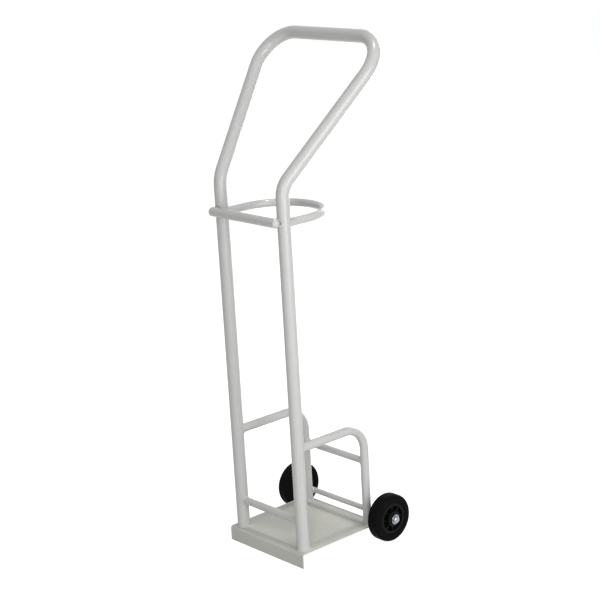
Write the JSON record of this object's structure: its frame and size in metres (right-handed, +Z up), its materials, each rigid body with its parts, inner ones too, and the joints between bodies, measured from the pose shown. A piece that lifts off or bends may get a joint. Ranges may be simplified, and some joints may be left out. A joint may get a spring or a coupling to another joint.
{
  "type": "gas cylinder trolley",
  "caption": "Upright tube trolley for one gas cylinder, with a base plate, a retaining ring, a swept-back loop handle and two rubber wheels on a rear axle.",
  "frame": {"origin": "on the floor, in the middle of the overall width and depth", "axes": "+Z up; +X along the wheel axle, to the right of someone facing along +Y; +Y from the uprights back to the wheels and the handle"},
  "size_m": [0.4502, 0.3594, 1.35],
  "materials": {
    "paint": "satin",
    "axle_steel": "satin",
    "zinc": "bright zinc",
    "bearing_steel": "ground",
    "cage_plastic": "matte",
    "black_plastic": "matte",
    "rubber": "matte"
  },
  "bodies": {
    "frame": {"main_frame_tube": "paint", "retaining_ring": "paint", "front_bar": "paint", "front_bar_caps": "paint", "low_bar": "paint", "side_tube_left": "paint", "side_tube_right": "paint", "rear_cross_tube": "paint", "base_plate": "paint", "axle": "axle_steel", "axle_collars": "zinc", "inner_washers": "zinc", "outer_washers": "zinc", "push_on_caps": "zinc"},
    "wheel_left": {"tyre_left": "rubber", "wheel_centre_left": "black_plastic", "bearing_sleeve_left": "bearing_steel", "roller_cage_left": "cage_plastic", "rollers_left": "bearing_steel"},
    "wheel_right": {"tyre_right": "rubber", "wheel_centre_right": "black_plastic", "bearing_sleeve_right": "bearing_steel", "roller_cage_right": "cage_plastic", "rollers_right": "bearing_steel"}
  },
  "joints": [
    {"name": "wheel_left_spin", "type": "hinge", "parent": "frame", "child": "wheel_left", "pos_m": [-0.1795, 0.11568, 0.064], "axis": [1, 0, 0], "continuous": true},
    {"name": "wheel_right_spin", "type": "hinge", "parent": "frame", "child": "wheel_right", "pos_m": [0.1795, 0.11568, 0.064], "axis": [1, 0, 0], "continuous": true}
  ]
}
